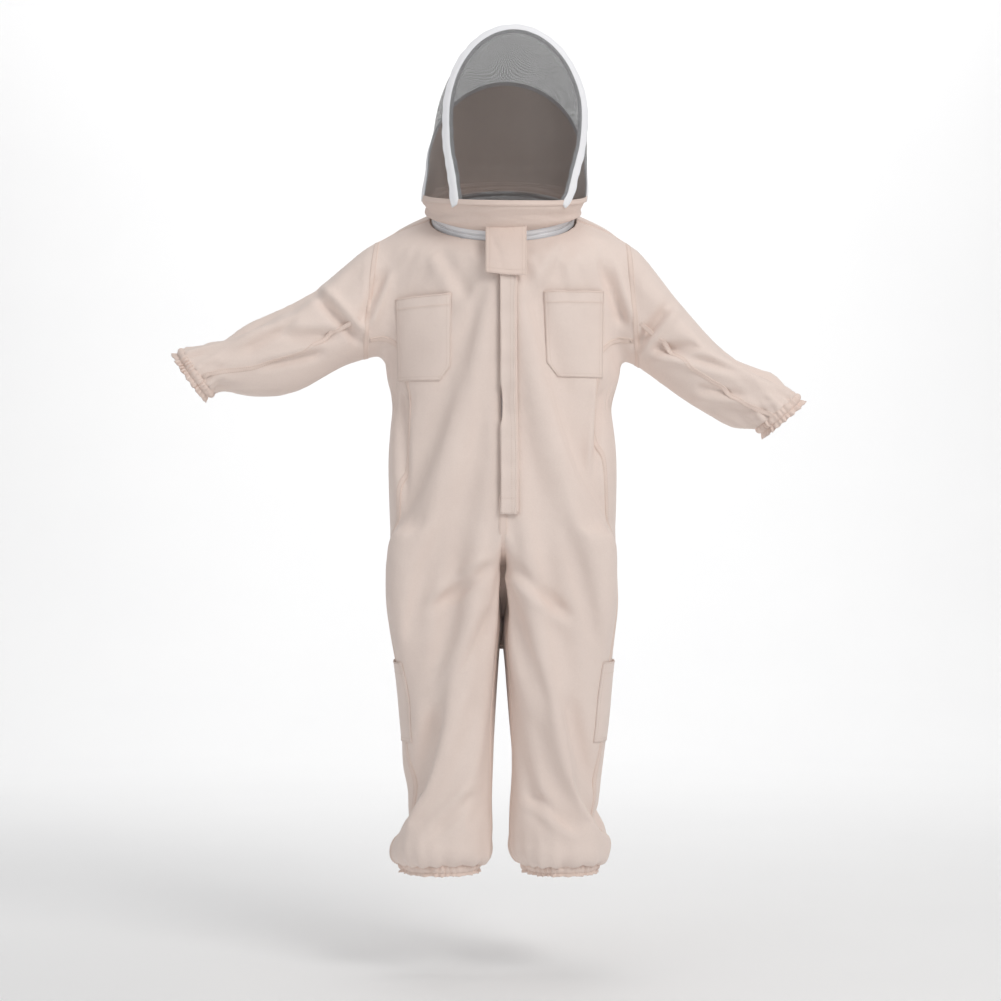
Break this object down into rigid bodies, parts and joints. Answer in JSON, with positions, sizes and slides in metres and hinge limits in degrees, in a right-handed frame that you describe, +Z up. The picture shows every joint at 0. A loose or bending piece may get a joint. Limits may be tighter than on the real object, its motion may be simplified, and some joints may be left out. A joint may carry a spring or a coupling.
{
  "type": "beekeeping suit",
  "caption": "Full-length cotton coverall with gathered cuffs and ankles, covered front zip, patch pockets and a domed black-veil hood that zips to the neck and tips back.",
  "frame": {"origin": "centre of the neck zip ring, where the hood meets the coverall", "axes": "+Z up along the standing wearer, -Y out of the wearer's chest, +X to the wearer's left"},
  "size_m": [1.2006, 0.3379, 1.641],
  "materials": {
    "cotton": "woven cotton twill, matt, warm off-white",
    "veil_mesh": "black open polyester net, matt, see-through",
    "white_binding": "white cotton twill tape, matt",
    "zip_tape": "white woven tape with nylon coil teeth",
    "elastic": "white woven elastic",
    "loop_tape": "white loop pile",
    "hook_tape": "white moulded hooks",
    "nickel": "nickel-plated zinc, satin",
    "spring_wire": "drawn spring steel"
  },
  "bodies": {
    "suit": {"front_panel_left": "cotton", "front_panel_right": "cotton", "back_panel_left": "cotton", "back_panel_right": "cotton", "waist_elastic": "elastic", "chest_pocket_left": "cotton", "chest_pocket_right": "cotton", "sleeve_head_left": "cotton", "sleeve_head_right": "cotton", "front_zip_tape_left": "zip_tape", "front_zip_tape_right": "zip_tape", "front_zip_stop": "nickel", "neck_zip_tape_lower": "zip_tape", "chest_loop_patch": "loop_tape"},
    "placket": {"placket": "cotton"},
    "front_slider": {"front_zip_slider": "nickel"},
    "front_pull": {"front_zip_pull": "nickel"},
    "neck_slider_left": {"neck_zip_slider_left": "nickel"},
    "neck_slider_right": {"neck_zip_slider_right": "nickel"},
    "neck_pull_left": {"neck_zip_pull_left": "nickel"},
    "neck_pull_right": {"neck_zip_pull_right": "nickel"},
    "arm_left": {"sleeve_left": "cotton", "cuff_hem_left": "cotton", "cuff_elastic_left": "elastic"},
    "arm_right": {"sleeve_right": "cotton", "cuff_hem_right": "cotton", "cuff_elastic_right": "elastic"},
    "leg_left": {"leg_front_left": "cotton", "leg_back_left": "cotton", "ankle_hem_left": "cotton", "ankle_elastic_left": "elastic", "tool_pocket_left": "cotton"},
    "leg_right": {"leg_front_right": "cotton", "leg_back_right": "cotton", "ankle_hem_right": "cotton", "ankle_elastic_right": "elastic", "tool_pocket_right": "cotton"},
    "hood": {"neck_zip_tape_upper": "zip_tape", "hood_band": "cotton", "hood_rear_panel": "cotton", "front_veil": "veil_mesh", "crown_veil": "veil_mesh", "front_binding": "white_binding", "rear_binding": "white_binding", "front_hoop": "spring_wire", "rear_hoop": "spring_wire"},
    "flap": {"neck_flap": "cotton", "flap_hook_patch": "hook_tape"}
  },
  "joints": [
    {"name": "hood_tip", "type": "hinge", "parent": "suit", "child": "hood", "pos_m": [0, 0.12795, 0.05431], "axis": [-1, 0, 0], "range_deg": [0, 75]},
    {"name": "flap_lift", "type": "hinge", "parent": "hood", "child": "flap", "pos_m": [0.005, -0.137, -0.044], "axis": [-1, 0, 0], "range_deg": [0, 85]},
    {"name": "placket_lift", "type": "hinge", "parent": "suit", "child": "placket", "pos_m": [0.03, -0.1493, -0.34], "axis": [0, 0, 1], "range_deg": [0, 90]},
    {"name": "front_zip_slide", "type": "slide", "parent": "suit", "child": "front_slider", "axis": [0, 0, -1], "range_m": [0, 0.405]},
    {"name": "front_pull_swing", "type": "hinge", "parent": "front_slider", "child": "front_pull", "pos_m": [0, -0.1552, -0.1245], "axis": [0, 1, 0], "range_deg": [-28, 28]},
    {"name": "neck_zip_slide_left", "type": "hinge", "parent": "suit", "child": "neck_slider_left", "pos_m": [0, 0, 0], "axis": [0, -0.3907, 0.9205], "range_deg": [0, 150]},
    {"name": "neck_zip_slide_right", "type": "hinge", "parent": "suit", "child": "neck_slider_right", "pos_m": [0, 0, 0], "axis": [0, 0.3907, -0.9205], "range_deg": [0, 150]},
    {"name": "neck_pull_swing_left", "type": "hinge", "parent": "neck_slider_left", "child": "neck_pull_left", "pos_m": [0.00997, -0.13153, -0.0542], "axis": [0.0699, -0.9183, -0.3898], "range_deg": [-25, 25]},
    {"name": "neck_pull_swing_right", "type": "hinge", "parent": "neck_slider_right", "child": "neck_pull_right", "pos_m": [-0.00997, -0.13153, -0.0542], "axis": [-0.0699, -0.9183, -0.3898], "range_deg": [-25, 25]},
    {"name": "shoulder_left", "type": "hinge", "parent": "suit", "child": "arm_left", "pos_m": [0.172, 0, -0.095], "axis": [0, -1, 0], "range_deg": [-5, 45]},
    {"name": "shoulder_right", "type": "hinge", "parent": "suit", "child": "arm_right", "pos_m": [-0.172, 0, -0.095], "axis": [0, 1, 0], "range_deg": [-5, 45]},
    {"name": "hip_left", "type": "hinge", "parent": "suit", "child": "leg_left", "pos_m": [0.118, -0.002, -0.505], "axis": [-1, 0, 0], "range_deg": [-15, 22]},
    {"name": "hip_right", "type": "hinge", "parent": "suit", "child": "leg_right", "pos_m": [-0.118, -0.002, -0.505], "axis": [-1, 0, 0], "range_deg": [-15, 22]}
  ]
}
